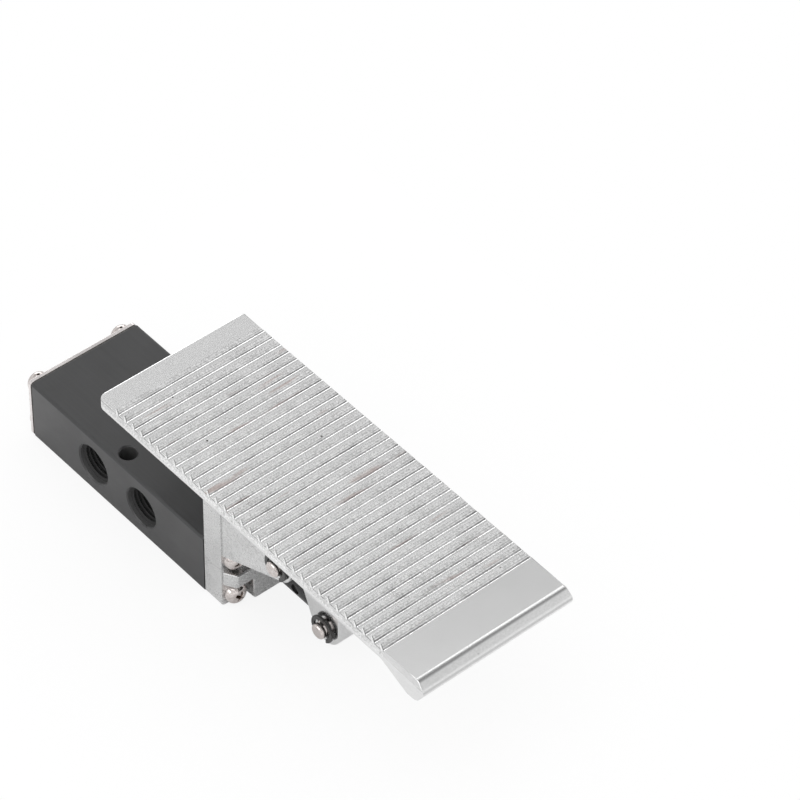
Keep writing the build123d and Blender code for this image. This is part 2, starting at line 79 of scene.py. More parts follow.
# %% Copy, round and finish
merge_gap = 0.0005 * mm
short_edge = 0.04 * mm
flat_limit = math.radians(0.6)
sharp_limit = math.radians(32)


def merged_copy(node):
    """Copy of a CAD node's mesh, merged into whole flat faces."""
    shape = bmesh.new()
    shape.from_mesh(frame["nodes"][node].data)
    bmesh.ops.remove_doubles(shape, verts=shape.verts, dist=merge_gap)
    bmesh.ops.dissolve_limit(shape, angle_limit=flat_limit, verts=shape.verts, edges=shape.edges)
    bmesh.ops.dissolve_degenerate(shape, dist=short_edge, edges=shape.edges)
    return shape


def round_edges(shape, radius, chosen, segments=3):
    """Bevels each edge that the rule picks."""
    edges = [edge for edge in shape.edges if edge.is_manifold and chosen(edge)]
    bmesh.ops.bevel(
        shape,
        geom=edges,
        offset=radius,
        offset_type="OFFSET",
        affect="EDGES",
        segments=segments,
        profile=0.5,
        material=-1,
        clamp_overlap=False,
        loop_slide=True,
    )
    return len(edges)


def finish_piece(name, shape, body, material, replaced=()):
    """Turns a bmesh into a smooth-shaded piece that rides on a body."""
    mesh = bpy.data.meshes.new(name)
    shape.to_mesh(mesh)
    shape.free()
    if "custom_normal" in mesh.attributes:
        mesh.attributes.remove(mesh.attributes["custom_normal"])
    mesh.shade_smooth()
    mesh.set_sharp_from_angle(angle=sharp_limit)
    mesh.materials.clear()
    mesh.materials.append(material)
    piece = bpy.data.objects.new(name, mesh)
    bpy.context.scene.collection.objects.link(piece)
    weighted = piece.modifiers.new("Flat faces stay flat", "WEIGHTED_NORMAL")
    weighted.keep_sharp = True
    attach(piece, body)
    if replaced:
        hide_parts(*replaced)
    print(name, "has", len(mesh.polygons), "faces")


def turn_at(edge):
    """Degrees between an edge's two faces, below zero where they form a hollow corner."""
    return math.degrees(edge.calc_face_angle_signed(0.0))


def middle_of(edge):
    """Middle of an edge."""
    return (edge.verts[0].co + edge.verts[1].co) / 2


def lies_at(edge, axis, value, slack=0.02 * mm):
    """Whether both ends of an edge are at one value of X, Y or Z."""
    return all(abs(vert.co[axis] - value) < slack for vert in edge.verts)


def runs_along(edge, axis):
    """Whether an edge is parallel to X, Y or Z."""
    run = edge.verts[1].co - edge.verts[0].co
    return abs(run[axis]) > 0.999 * run.length


# %% [markdown]
# ## Shared surface effects
# Two effects come back in several finishes, so each is a node group with named inputs. The casting
# skin is what a die leaves: a soft mottle, a fine grain, a few dark pits and thin flow lines where
# the metal met itself. The tool lines are the fine streaks that milling, brushing or drawing leaves
# along one direction. Both read the piece's own coordinates, so they stay put when it moves.

# %% Node helpers


def add_node(tree, kind, **settings):
    """Adds a node and sets its properties."""
    node = tree.nodes.new(kind)
    for key, value in settings.items():
        setattr(node, key, value)
    return node


def set_inputs(node, **values):
    """Sets a node's unlinked inputs; an underscore in a name stands for a space."""
    for key, value in values.items():
        node.inputs[key.replace("_", " ")].default_value = value
    return node


def blend_range(tree, source, low, high, low_value=0.0, high_value=1.0, soft=True):
    """Maps a value between two levels to another range."""
    node = add_node(tree, "ShaderNodeMapRange")
    node.interpolation_type = "SMOOTHSTEP" if soft else "LINEAR"
    node.inputs["From Min"].default_value = low
    node.inputs["From Max"].default_value = high
    node.inputs["To Min"].default_value = low_value
    node.inputs["To Max"].default_value = high_value
    tree.links.new(source, node.inputs["Value"])
    return node.outputs["Result"]


def calculate(tree, operation, first, second=0.0):
    """Adds a Math node; either side is a socket or a number."""
    node = add_node(tree, "ShaderNodeMath", operation=operation)
    for index, value in enumerate((first, second)):
        if isinstance(value, (int, float)):
            node.inputs[index].default_value = value
        else:
            tree.links.new(value, node.inputs[index])
    return node.outputs["Value"]


def product(tree, first, *others):
    """Product of two or more masks or values."""
    for other in others:
        first = calculate(tree, "MULTIPLY", first, other)
    return first


def is_near(tree, value, middle, reach):
    """Mask of the places where a value is within a reach of a middle."""
    mask = calculate(tree, "COMPARE", value, middle)
    mask.node.inputs[2].default_value = reach
    return mask


def weighted_sum(tree, first, first_share, second, second_share):
    """Sum of two values, each times its share."""
    return calculate(
        tree, "ADD", product(tree, first, first_share), product(tree, second, second_share)
    )


def split_place(tree, vector):
    """The X, Y and Z of a vector."""
    node = add_node(tree, "ShaderNodeSeparateXYZ")
    tree.links.new(vector, node.inputs["Vector"])
    return node.outputs["X"], node.outputs["Y"], node.outputs["Z"]


def stretched(tree, vector, stretch):
    """Vector times a stretch for X, Y and Z, as three numbers or a socket."""
    node = add_node(tree, "ShaderNodeVectorMath", operation="MULTIPLY")
    tree.links.new(vector, node.inputs[0])
    if isinstance(stretch, tuple):
        node.inputs[1].default_value = stretch
    else:
        tree.links.new(stretch, node.inputs[1])
    return node.outputs["Vector"]


def noise(tree, vector, size, detail=3.0, roughness=0.5):
    """Noise whose blotches are about as large as a size in metres."""
    node = add_node(tree, "ShaderNodeTexNoise")
    set_inputs(node, Scale=1 / size, Detail=detail, Roughness=roughness)
    tree.links.new(vector, node.inputs["Vector"])
    return node.outputs["Fac"]


def new_group(name, inputs, outputs):
    """Empty node group whose sockets are given as (name, kind, default)."""
    group = bpy.data.node_groups.new(name, "ShaderNodeTree")
    for socket, kind, default in inputs:
        made = group.interface.new_socket(name=socket, in_out="INPUT", socket_type=kind)
        if default is not None:
            made.default_value = default
    for socket, kind in outputs:
        group.interface.new_socket(name=socket, in_out="OUTPUT", socket_type=kind)
    start = group.nodes.new("NodeGroupInput")
    end = group.nodes.new("NodeGroupOutput")
    return group, start, end


# %% The skin of a casting
mottle_size = 7 * mm
grain_share = 0.7
pit_spacing = 3.2 * mm
pit_share = 0.2
flow_size = 16 * mm
flow_width = 0.007
flow_darkness = 0.4

skin_group, skin_in, skin_out = new_group(
    "Casting skin",
    [
        ("Vector", "NodeSocketVector", None),
        ("Pit size", "NodeSocketFloat", 0.085),
        ("Grains per metre", "NodeSocketFloat", 1700.0),
    ],
    [("Tone", "NodeSocketFloat"), ("Dark", "NodeSocketFloat"), ("Height", "NodeSocketFloat")],
)
skin_vector = skin_in.outputs["Vector"]
grain_noise = set_inputs(add_node(skin_group, "ShaderNodeTexNoise"), Detail=2.0, Roughness=0.5)
skin_group.links.new(skin_vector, grain_noise.inputs["Vector"])
skin_group.links.new(skin_in.outputs["Grains per metre"], grain_noise.inputs["Scale"])
grain = grain_noise.outputs["Fac"]
mottle = noise(skin_group, skin_vector, mottle_size, detail=5.0, roughness=0.62)
cells = add_node(skin_group, "ShaderNodeTexVoronoi")
set_inputs(cells, Scale=1 / pit_spacing, Randomness=1.0)
skin_group.links.new(skin_vector, cells.inputs["Vector"])
chosen_cells = add_node(skin_group, "ShaderNodeSeparateColor")
skin_group.links.new(cells.outputs["Color"], chosen_cells.inputs["Color"])
has_pit = calculate(skin_group, "LESS_THAN", chosen_cells.outputs["Red"], pit_share)
pit_edge = product(skin_group, chosen_cells.outputs["Green"], skin_in.outputs["Pit size"])
inside_pit = calculate(skin_group, "LESS_THAN", cells.outputs["Distance"], pit_edge)
pit = product(skin_group, has_pit, inside_pit)
flow = noise(skin_group, skin_vector, flow_size, detail=6.0, roughness=0.6)
from_line = calculate(skin_group, "ABSOLUTE", calculate(skin_group, "SUBTRACT", flow, 0.5))
flow_line = blend_range(skin_group, from_line, 0.0, flow_width, 1.0, 0.0)
flow_patch = blend_range(skin_group, noise(skin_group, skin_vector, 2.2 * flow_size), 0.5, 0.58)
flow_line = product(skin_group, flow_line, flow_patch, flow_darkness)
tone = weighted_sum(skin_group, grain, grain_share, mottle, 1 - grain_share)
dark = calculate(skin_group, "MAXIMUM", pit, flow_line)
height = calculate(skin_group, "SUBTRACT", tone, dark)
skin_group.links.new(tone, skin_out.inputs["Tone"])
skin_group.links.new(dark, skin_out.inputs["Dark"])
skin_group.links.new(height, skin_out.inputs["Height"])
print("casting skin:", len(skin_group.nodes), "nodes")

# %% Lines left by a tool
line_width = 0.28 * mm
fine_share = 0.6
smudge_size = 14 * mm

lines_group, lines_in, lines_out = new_group(
    "Tool lines",
    [("Vector", "NodeSocketVector", None), ("Stretch", "NodeSocketVector", (1.0, 1.0, 1.0))],
    [("Streak", "NodeSocketFloat"), ("Smudge", "NodeSocketFloat")],
)
lines_vector = lines_in.outputs["Vector"]
drawn_out = stretched(lines_group, lines_vector, lines_in.outputs["Stretch"])
fine = noise(lines_group, drawn_out, line_width, detail=2.0)
broad = noise(lines_group, drawn_out, 5 * line_width, detail=3.0)
streak = weighted_sum(lines_group, fine, fine_share, broad, 1 - fine_share)
lines_group.links.new(streak, lines_out.inputs["Streak"])
lines_group.links.new(noise(lines_group, lines_vector, smudge_size), lines_out.inputs["Smudge"])
print("tool lines:", len(lines_group.nodes), "nodes")

# %% Material helpers


def start_material(name, metallic, specular=0.5):
    """Material with its shader, its own coordinates and plain uniform values."""
    material = bpy.data.materials.new(name)
    material.use_nodes = True
    tree = material.node_tree
    shader = tree.nodes["Principled BSDF"]
    set_inputs(shader, Metallic=metallic, Specular_IOR_Level=specular)
    place = add_node(tree, "ShaderNodeTexCoord").outputs["Object"]
    return material, tree, shader, place


def place_group(tree, group, vector, **values):
    """Puts a shared effect into a material with its own values."""
    node = add_node(tree, "ShaderNodeGroup", node_tree=group)
    tree.links.new(vector, node.inputs["Vector"])
    return set_inputs(node, **values)


def mix_colours(tree, factor, low, high, kind="MIX"):
    """Two linear colours, each a triple or a socket, mixed by a factor."""
    node = add_node(tree, "ShaderNodeMix", data_type="RGBA", blend_type=kind)
    tree.links.new(factor, node.inputs["Factor"])
    for socket, colour in ((node.inputs[6], low), (node.inputs[7], high)):
        if isinstance(colour, tuple):
            socket.default_value = (*colour, 1.0)
        else:
            tree.links.new(colour, socket)
    return node.outputs[2]


def add_bump(tree, shader, height, depth, strength=1.0):
    """Surface relief of a depth in metres."""
    bump = set_inputs(add_node(tree, "ShaderNodeBump"), Distance=depth, Strength=strength)
    tree.links.new(height, bump.inputs["Height"])
    tree.links.new(bump.outputs["Normal"], shader.inputs["Normal"])
    return bump


# %% [markdown]
# ## Materials
# Each finish is one function's result and carries the detail of the real one: streaks along the
# black block, the mottled skin of the castings, the warm tint of nickel plate, and black steel that
# is a little worn. Colours that change over the surface come from the groups; plain numbers are set
# on the shader itself.

# %% Cast aluminium
cast_dark = (0.16, 0.155, 0.15)
cast_even = (0.75, 0.75, 0.75)


def make_cast_aluminium(name, grains_per_metre, pit_size, tone_low, tone_high, deep, light):
    """Bright tumbled casting; returns the parts that a version of it builds on."""
    material, tree, shader, place = start_material(name, metallic=1.0)
    skin = place_group(tree, skin_group, place, Grains_per_metre=grains_per_metre, Pit_size=pit_size)
    tone = blend_range(tree, skin.outputs["Tone"], tone_low, tone_high)
    colour = mix_colours(tree, tone, (deep, deep, deep), (light, light, light))
    rough = blend_range(tree, skin.outputs["Tone"], 0.35, 0.65, 0.32, 0.19)
    colour = mix_colours(tree, skin.outputs["Dark"], colour, cast_dark)
    tree.links.new(colour, shader.inputs["Base Color"])
    tree.links.new(rough, shader.inputs["Roughness"])
    bump = add_bump(tree, shader, skin.outputs["Height"], 0.05 * mm, strength=0.5)
    return material, tree, shader, place, colour, rough, bump


cast_aluminium = make_cast_aluminium("Cast aluminium", 2900.0, 0.085, 0.30, 0.68, 0.55, 0.77)[0]

# %% [markdown]
# ### The tread
# The tread is the same casting, worked by soles. Its lands are rubbed bright, dirt stains the floors,
# and the strips without grooves are smooth. Painted shade darkens the foot of each wall and a thin
# line on each land and floor, and a painted highlight runs along each groove's near end. The grooves
# run at an even pitch, so the material works out where a point lies: how deep below the top, how far
# past the last wall, and how near to a groove's slanted end. Each answer is a mask, and each mask
# shades one thing. A painted picture could do it too, but masks keep their sharpness at any distance.

# %% Where the tread is grooved
tread_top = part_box("pedal")[1].z
groove_depth = 0.5 * mm
groove_pitch = 3.75 * mm
groove_width = 2.15 * mm
groove_area_front = 128.2 * mm
first_wall = 11.65 * mm
near_end = -26.7 * mm
side_height = 2.0 * mm

tread_aluminium, tree, shader, place, colour, rough, bump = make_cast_aluminium(
    "Cast tread", 1800.0, 0.13, 0.37, 0.61, 0.65, 0.89
)
place_x, place_y, place_z = split_place(tree, place)
in_front = calculate(tree, "LESS_THAN", place_x, groove_area_front)
in_width = calculate(tree, "GREATER_THAN", place_y, near_end)
on_top = calculate(tree, "GREATER_THAN", place_z, tread_top - 1.1 * groove_depth)
grooved = product(tree, in_front, in_width, on_top)
below = calculate(tree, "LESS_THAN", place_z, tread_top - side_height)
polished = calculate(tree, "MAXIMUM", calculate(tree, "SUBTRACT", 1.0, in_front), below)
depth = calculate(tree, "SUBTRACT", tread_top, place_z)
depth = calculate(tree, "DIVIDE", depth, groove_depth)
past_wall = calculate(tree, "SUBTRACT", place_x, first_wall)
ahead = calculate(tree, "FRACT", calculate(tree, "DIVIDE", past_wall, groove_pitch))
print("grooves in the tread:", 1 + int((groove_area_front - first_wall) / groove_pitch))

# %% Lands and floors, with painted shade lines
# Painted shade: each ramp puts a thin dark line on the land and on the floor, in place of a dark
# reflection.
floor_painted_shade = [
    (0.0, 1.0), (0.2, 1.0), (0.24, 1.0), (0.49, 1.0),
    (0.53, 0.72), (0.58, 0.72), (0.62, 1.0), (1.0, 1.0),
]
land_painted_shade = [(0.0, 1.0), (0.11, 1.0), (0.14, 0.80), (0.19, 0.80), (0.23, 1.0), (1.0, 1.0)]


def grey_ramp(tree, value, levels):
    """Grey that follows a value through pairs of value and shade."""
    node = add_node(tree, "ShaderNodeValToRGB")
    tree.links.new(value, node.inputs["Fac"])
    stops = node.color_ramp.elements
    for level_at, _ in levels[1:-1]:
        stops.new(level_at)
    for stop, (level_at, level) in zip(stops, levels):
        stop.position = level_at
        stop.color = (level, level, level, 1)
    return node.outputs["Color"]


on_land = product(tree, grooved, calculate(tree, "GREATER_THAN", place_x, first_wall))
colour = mix_colours(tree, on_land, colour, grey_ramp(tree, ahead, land_painted_shade), "MULTIPLY")
colour = mix_colours(tree, grooved, colour, grey_ramp(tree, depth, floor_painted_shade), "MULTIPLY")

# %% Dirt and painted shade in the grooves
foot_depth = 0.72
foot_fade = 0.03
floor_depth = 0.2
stain_share = 0.7
painted_foot_shade = (0.05, 0.05, 0.05)
stain = (0.50, 0.40, 0.375)

along_groove = stretched(tree, place, (1.0, 0.16, 1.0))
drift = noise(tree, along_groove, 1.9 * mm, detail=3.0, roughness=0.6)
foot_strength = blend_range(tree, drift, 0.36, 0.64, 0.30, 0.75)
# Painted shade: the deepest part of each floor, at the foot of the wall, is darkened in place of
# shade.
foot = blend_range(tree, depth, foot_depth, foot_depth + foot_fade)
foot = product(tree, foot, grooved, foot_strength)
stained = noise(tree, along_groove, 4.5 * mm, detail=2.0)
stained = blend_range(tree, stained, 0.62, 0.72, 0.0, stain_share)
in_floor = product(tree, calculate(tree, "GREATER_THAN", depth, floor_depth), grooved)
colour = mix_colours(tree, product(tree, stained, in_floor), colour, stain)
# The painted shade goes on at the foot of each wall; the brown stain above is dirt.
colour = mix_colours(tree, foot, colour, painted_foot_shade)

# %% The grooves' near ends, with painted shade and highlight
end_slant = 1.0 * mm
end_shade_reach = 0.2 * mm
end_shade_strength = 0.42
end_highlight_reach = 0.22 * mm
painted_highlight = (0.97, 0.97, 0.97)

to_wall = calculate(tree, "SUBTRACT", 1.0, ahead)
in_groove = calculate(tree, "LESS_THAN", to_wall, groove_width / groove_pitch)
in_row = calculate(tree, "GREATER_THAN", place_x, first_wall - groove_width)
in_groove = product(tree, in_groove, in_row, in_front)
end_line = product(tree, to_wall, end_slant * groove_pitch / groove_width)
past_end = calculate(tree, "SUBTRACT", calculate(tree, "SUBTRACT", place_y, near_end), end_line)
# Painted shade along the foot of each groove's near end wall.
painted_end_shade = is_near(tree, past_end, end_shade_reach, end_shade_reach)
painted_end_shade = product(tree, painted_end_shade, in_groove, end_shade_strength, on_top)
# Painted highlight along the upper edge of each groove's near end.
painted_end_highlight = is_near(tree, past_end, -end_highlight_reach, end_highlight_reach)
painted_end_highlight = product(tree, painted_end_highlight, in_groove, on_top)
colour = mix_colours(tree, painted_end_shade, colour, painted_foot_shade)
colour = mix_colours(tree, painted_end_highlight, colour, painted_highlight)

# %% Smooth strips, lip and underside
polish_cover = 0.82
polished_roughness = 0.18
polish_share = 0.65
rough_relief = 0.5
polish_relief = 0.36
dirt_roughness = 0.2

colour = mix_colours(tree, product(tree, polished, polish_cover), colour, cast_even)
tree.links.new(colour, shader.inputs["Base Color"])
relief = calculate(tree, "SUBTRACT", rough_relief, product(tree, polished, polish_relief))
tree.links.new(relief, bump.inputs["Strength"])
to_polish = product(tree, calculate(tree, "SUBTRACT", polished_roughness, rough), polish_share)
rough = calculate(tree, "ADD", rough, product(tree, polished, to_polish))
rough = calculate(tree, "ADD", rough, product(tree, in_floor, dirt_roughness))
tree.links.new(rough, shader.inputs["Roughness"])
print("cast tread:", len(tree.nodes), "nodes")

# %% [markdown]
# ### The black block
# Anodising dyes the metal's own oxide, so the brushing of the bar shows through as faint streaks. The
# bores are painted a shade paler than the outside, as painted light on their deep walls. The material
# asks whether a point lies inside the block and gives it that paler colour there.

# %% Black anodised aluminium
black_dye = (0.031, 0.031, 0.032)
black_worn = (0.039, 0.039, 0.040)
bore_painted_light = (0.085, 0.085, 0.085)
block_half_width = 20 * mm
block_height = 22.3 * mm
bore_height = block_height / 2
skin_depth = 0.5 * mm
brushed_along_x = (1 / 60, 1.0, 1.0)


def make_black_anodised(name, stretch_by):
    """Dyed oxide over brushed metal: the streaks run along the block, and the bores get painted
    light.
    """
    material, tree, shader, place = start_material(name, metallic=0.0)
    lines = place_group(tree, lines_group, place, Stretch=stretch_by)
    streaks = blend_range(tree, lines.outputs["Streak"], 0.25, 0.75, soft=False)
    _, place_y, place_z = split_place(tree, place)
    off_middle = calculate(tree, "ABSOLUTE", place_y)
    off_height = calculate(tree, "ABSOLUTE", calculate(tree, "SUBTRACT", place_z, bore_height))
    inside = product(
        tree,
        calculate(tree, "LESS_THAN", off_middle, block_half_width - skin_depth),
        calculate(tree, "LESS_THAN", off_height, bore_height - skin_depth),
    )
    dye = mix_colours(tree, streaks, black_dye, black_worn)
    # Inside the block, the paler colour is painted light on the bore walls.
    tree.links.new(mix_colours(tree, inside, dye, bore_painted_light), shader.inputs["Base Color"])
    rough = blend_range(tree, lines.outputs["Smudge"], 0.3, 0.7, 0.30, 0.40)
    tree.links.new(rough, shader.inputs["Roughness"])
    add_bump(tree, shader, lines.outputs["Streak"], 0.008 * mm, strength=0.2)
    print(name, "has", len(tree.nodes), "nodes")
    return material


black_anodised = make_black_anodised("Black anodised", brushed_along_x)

# %% [markdown]
# ### Bright and black metal
# Nickel plate is warm and a little smudged. The screws get brown painted shade in the punched cross,
# so they carry an attribute that says how deep each point was pushed. The end plate is sheet from the
# roll, paler and duller than a screw. Blackened steel is darkest where it is thick and shines where
# hands and tools have rubbed it. The threads are dyed like the block, but their fine flanks swallow
# light.

# %% Plated, turned and drawn metal
nickel_low = (0.56, 0.51, 0.49)
nickel_high = (0.76, 0.71, 0.69)
cross_painted_shade = (0.13, 0.085, 0.06)
no_stretch = (1.0, 1.0, 1.0)
turned_about_x = (1.0, 1 / 20, 1 / 20)


def make_bright_metal(name, low, high, rough_low, rough_high, stretch_by, relief, hollow=None):
    """Metal with tool lines, slightly uneven polish and, where given, painted shade in its hollows.
    """
    material, tree, shader, place = start_material(name, metallic=1.0)
    lines = place_group(tree, lines_group, place, Stretch=stretch_by)
    tone = blend_range(tree, lines.outputs["Streak"], 0.35, 0.65)
    colour = mix_colours(tree, tone, low, high)
    if hollow:
        # The sunk attribute says where the hollows get painted shade.
        sunk = add_node(tree, "ShaderNodeAttribute", attribute_name="sunk").outputs["Fac"]
        colour = mix_colours(tree, sunk, colour, hollow)
    tree.links.new(colour, shader.inputs["Base Color"])
    rough = blend_range(tree, lines.outputs["Smudge"], 0.3, 0.7, rough_low, rough_high)
    tree.links.new(rough, shader.inputs["Roughness"])
    add_bump(tree, shader, lines.outputs["Streak"], relief, strength=0.4)
    return material


plated_steel = make_bright_metal(
    "Nickel plate", nickel_low, nickel_high, 0.12, 0.24, no_stretch, 0.003 * mm
)
turned_aluminium = make_bright_metal(
    "Turned aluminium", (0.50, 0.50, 0.51), (0.72, 0.72, 0.73), 0.24, 0.38, turned_about_x, 0.01 * mm
)
screw_steel = make_bright_metal(
    "Nickel screw", nickel_low, nickel_high, 0.10, 0.20, no_stretch, 0.003 * mm, cross_painted_shade
)
plated_sheet = make_bright_metal(
    "Nickel sheet", (0.74, 0.70, 0.69), (0.83, 0.79, 0.78), 0.18, 0.28, no_stretch, 0.002 * mm
)
spring_steel = make_bright_metal(
    "Drawn spring wire", (0.36, 0.36, 0.37), (0.55, 0.55, 0.56), 0.22, 0.36, no_stretch, 0.01 * mm
)

# %% Black steel, spool and rubber


def make_black_coat(name, low, high, rough_low, rough_high, spot_size, relief, specular=0.5):
    """Dark finish whose shade and gloss drift a little over the surface."""
    material, tree, shader, place = start_material(name, metallic=0.0, specular=specular)
    spots = noise(tree, place, spot_size, detail=5.0, roughness=0.6)
    colour = mix_colours(tree, blend_range(tree, spots, 0.35, 0.7), low, high)
    rough = blend_range(tree, spots, 0.3, 0.7, rough_low, rough_high)
    tree.links.new(colour, shader.inputs["Base Color"])
    tree.links.new(rough, shader.inputs["Roughness"])
    add_bump(tree, shader, noise(tree, place, spot_size / 8, detail=2.0), relief, strength=0.5)
    return material


blackened_steel = make_black_coat(
    "Blackened steel", (0.010, 0.010, 0.010), (0.036, 0.035, 0.033), 0.14, 0.30, 1.6 * mm, 0.012 * mm
)
black_spool = make_black_coat(
    "Black spool", (0.012, 0.012, 0.013), (0.030, 0.030, 0.031), 0.18, 0.30, 3 * mm, 0.006 * mm
)
gasket_sheet = make_black_coat(
    "Gasket sheet", (0.06, 0.058, 0.055), (0.12, 0.118, 0.112), 0.65, 0.85, 0.8 * mm, 0.04 * mm
)
thread_black = make_black_coat(
    "Black thread", (0.030, 0.030, 0.030), (0.040, 0.040, 0.040), 0.45, 0.60, 2 * mm, 0.004 * mm, 0.15
)
seal_rubber = make_black_coat(
    "Seal rubber", (0.012, 0.012, 0.012), (0.026, 0.026, 0.026), 0.42, 0.60, 1.2 * mm, 0.02 * mm
)

# %% [markdown]
# ## Putting the finishes on
# Every CAD node gets the finish that its record names. A node that no piece of this lesson replaces
# shows as it is, so it needs its finish too.

# %% A finish for every node
finishes = {
    "black_anodised": black_anodised,
    "cast_aluminium": cast_aluminium,
    "plated_steel": plated_steel,
    "blackened_steel": blackened_steel,
    "black_spool": black_spool,
    "turned_aluminium": turned_aluminium,
    "spring_steel": spring_steel,
    "gasket_sheet": gasket_sheet,
    "seal_rubber": seal_rubber,
}
slots = {part["node"]: part["material_slot"] for part in frame["record"]["subparts"]}
for node, piece in frame["nodes"].items():
    for material_slot in piece.material_slots:
        material_slot.link = "OBJECT"
        material_slot.material = finishes[slots[node]]
print("finishes:", len(finishes))

# %% A worked copy of a node


def body_with(node):
    """Name of the body that a CAD node rides on."""
    bodies = frame["record"]["behaviour"]["bodies"]
    return next(body for body, members in bodies.items() if node in members)


def worked_copy(name, node, roundings, material=None):
    """Copy of one CAD node with its edges rounded, which stands for it."""
    shape = merged_copy(node)
    for radius, segments, chosen in roundings:
        count = round_edges(shape, radius, chosen, segments)
        print(name, "rounded", count, "edges to", round(radius / mm, 2), "mm")
    finish = material or finishes[slots[node]]
    finish_piece(name, shape, body_with(node), finish, [node])


# %% [markdown]
# ## Pedal
# The tread is cast with grooves like saw teeth: each floor falls forward to a steep wall. Soles wear
# the land's rear edge down to a narrow slope, and that slope shines beside painted shade at the
# wall's foot.
# A bevel makes it as deep as it is wide, so its lower edge is then lifted to make it shallow.

# %% Which edges of the pedal are worn
tread_thickness = 3.2 * mm
nose_length = 4.5 * mm
rear_corner = 4.5 * mm
side_zone = 25 * mm
spine_half_width = 20 * mm
tread_under = tread_top - tread_thickness
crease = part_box("pedal")[1].x - nose_length


def is_land_edge(edge):
    """Upper edge of a groove's front wall."""
    return lies_at(edge, 2, tread_top) and min(face.normal.x for face in edge.link_faces) < -0.9


def is_worn_slope(edge):
    """Where the worn slope meets the land."""
    return lies_at(edge, 2, tread_top) and 11.5 < turn_at(edge) < 34.4 and runs_along(edge, 1)


def is_groove_end(edge):
    """Upper edge of a groove's near end wall."""
    steepest = min(edge.link_faces, key=lambda face: face.normal.z).normal
    upright = abs(steepest.z) < 0.1 and steepest.y > 0.2
    return upright and middle_of(edge).y < 0 and lies_at(edge, 2, tread_top)


def is_lower_outline(edge):
    """Lower edge round the tread."""
    place = middle_of(edge)
    outer = abs(place.y) > side_zone or place.x < rear_corner
    return turn_at(edge) > 40 and outer and lies_at(edge, 2, tread_under, 0.1 * mm)


def is_end_outline(edge):
    """Edge of the tread's near and far side at the crease and the nose."""
    place = middle_of(edge)
    return turn_at(edge) > 30 and abs(place.y) > side_zone + 1 * mm and place.x > crease


def is_under_edge(edge):
    """Edge of the lugs and the spine, below the tread."""
    place = middle_of(edge)
    lower = place.z < tread_under - 0.5 * mm and abs(place.y) < spine_half_width
    return turn_at(edge) > 35 and lower


# %% Pedal
slope_width = 0.25 * mm
slope_drop = 0.08 * mm

pedal_shape = merged_copy("pedal")
round_edges(pedal_shape, slope_width, lambda edge: is_land_edge(edge) or is_groove_end(edge), 1)
for vert in pedal_shape.verts:
    on_slope_foot = abs(vert.co.z - (tread_top - slope_width)) < 0.01 * mm
    if on_slope_foot and vert.co.x < groove_area_front:
        vert.co.z = tread_top - slope_drop
pedal_shape.normal_update()
print("worn slopes:", round_edges(pedal_shape, 0.05 * mm, is_worn_slope, 1))
print("lower outline:", round_edges(pedal_shape, 0.3 * mm, is_lower_outline))
print("outline:", round_edges(pedal_shape, 0.25 * mm, is_end_outline))
print("under:", round_edges(pedal_shape, 0.35 * mm, is_under_edge))
finish_piece(
    "foot_pedal", pedal_shape, body_with("pedal"), tread_aluminium, ["pedal"]
)

# %% [markdown]
# ## Bracket
# The bracket is one casting. Its boss has soft upright corners that catch a light rim, the mouth of
# the bore is chamfered by a cutter, and the tumbled outer edges are a little rounder than a saw cut.

# %% Bracket
boss_front = 52.55 * mm
bracket_back = 41.3 * mm
rod_bore = 6.25 * mm


def is_on_circle(edge, axis, centre, radius, slack=0.06 * mm):
    """Whether both ends of an edge are on a circle about a line parallel to X, Y or Z."""
    gaps = []
    for vert in edge.verts:
        offset = vert.co - Vector(centre)
        offset[axis] = 0.0
        gaps.append(abs(offset.length - radius))
    return max(gaps) < slack


def is_bore_mouth(edge):
    """Rim of the spool's hole in the boss."""
    return lies_at(edge, 0, boss_front) and is_on_circle(edge, 0, (0, 0, bore_height), rod_bore)


def is_boss_edge(edge):
    """Edge of the boss's and the bar's front face."""
    return lies_at(edge, 0, boss_front) and not is_bore_mouth(edge)


def is_other_edge(edge):
    """Any other sharp edge that stands out, away from the body."""
    return turn_at(edge) > 35 and middle_of(edge).x > bracket_back


worked_copy(
    "bracket_casting",
    "front_bracket",
    [(0.4 * mm, 1, is_bore_mouth), (0.55 * mm, 4, is_boss_edge), (0.3 * mm, 3, is_other_edge)],
)

# %% [markdown]
# ## Valve body
# The block is cut from bar, so its ends have a small broken edge and each port a wider chamfer that
# leads the fitting in. Inside each port runs a pipe thread: one sharp ridge, spun round the port's
# axis while it moves inwards by one pitch a turn.

# %% Valve body
block_half_length = 40.75 * mm
port_radius = 6.6 * mm
gallery_pitch = 11.4 * mm
near_ports = [-gallery_pitch, gallery_pitch]
far_ports = [-2 * gallery_pitch, 0.0, 2 * gallery_pitch]
ports = [(x, -1) for x in near_ports] + [(x, 1) for x in far_ports]


def is_port_rim(edge):
    """Rim of a port on the block's side."""
    return any(
        lies_at(edge, 1, side * block_half_width)
        and is_on_circle(edge, 1, (x, 0, bore_height), port_radius)
        for x, side in ports
    )


def is_near_outline(edge, zone):
    """Whether an edge lies in the outer zone of the block's end view."""
    place = middle_of(edge)
    beside = abs(place.y) > block_half_width - zone
    return beside or abs(place.z - bore_height) > bore_height - zone


def is_block_end(edge):
    """Outline of one of the block's ends."""
    at_end = any(lies_at(edge, 0, end * block_half_length) for end in (-1, 1))
    return at_end and turn_at(edge) > 60 and is_near_outline(edge, 1.1 * mm)


worked_copy(
    "valve_block",
    "valve_body",
    [(0.45 * mm, 1, is_port_rim), (0.2 * mm, 2, is_block_end)],
)

# %% Pipe threads
thread_pitch = 1.337 * mm
thread_turns = 5.6
thread_steps = 44
thread_start = 1.3 * mm
thread_profile = [(6.59, -0.62), (5.92, -0.18), (5.78, 0.0), (5.92, 0.18), (6.59, 0.62)]

